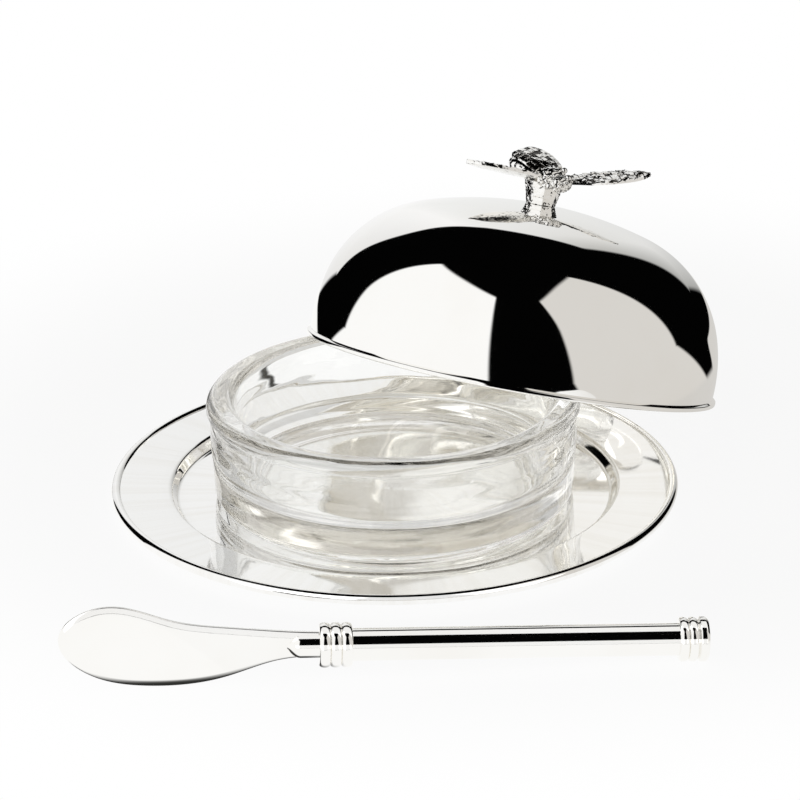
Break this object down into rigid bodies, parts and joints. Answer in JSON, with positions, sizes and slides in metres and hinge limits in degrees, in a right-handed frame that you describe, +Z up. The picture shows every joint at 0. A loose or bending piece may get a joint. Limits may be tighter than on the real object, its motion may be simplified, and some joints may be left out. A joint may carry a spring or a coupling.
{
  "type": "butter jar",
  "caption": "Round silver-plated butter dish: plate, thick glass bowl, lift-off dome lid with a bee knob, and a ringed-handle butter knife.",
  "frame": {"origin": "centre of the plate's flat foot, on the table", "axes": "+Z up along the plate's axis, -Y towards the front, where the knife lies"},
  "size_m": [0.1522, 0.1925, 0.0697],
  "materials": {
    "silver": "polished silver plate",
    "cast_silver": "textured silver-plated casting",
    "glass": "clear pressed glass",
    "steel": "zinc plated",
    "filler": "set cement"
  },
  "bodies": {
    "plate": {"plate": "silver"},
    "bowl": {"glass_bowl": "glass"},
    "lid": {"lid_dome": "silver", "finial_post": "cast_silver", "bee_body": "cast_silver", "bee_wing_left": "cast_silver", "bee_wing_right": "cast_silver", "finial_washer": "steel", "finial_screw": "steel"},
    "knife": {"knife_blade": "silver", "knife_collar": "silver", "knife_handle": "silver", "handle_filler": "filler", "knife_end_cap": "silver"}
  },
  "joints": [
    {"name": "bowl_lift", "type": "slide", "parent": "plate", "child": "bowl", "axis": [0, 0, 1], "range_m": [0, 0.1]},
    {"name": "lid_lift", "type": "slide", "parent": "bowl", "child": "lid", "axis": [0, 0, 1], "range_m": [0, 0.1]},
    {"name": "knife_lift", "type": "slide", "parent": "plate", "child": "knife", "axis": [0, 0, 1], "range_m": [0, 0.1]}
  ]
}
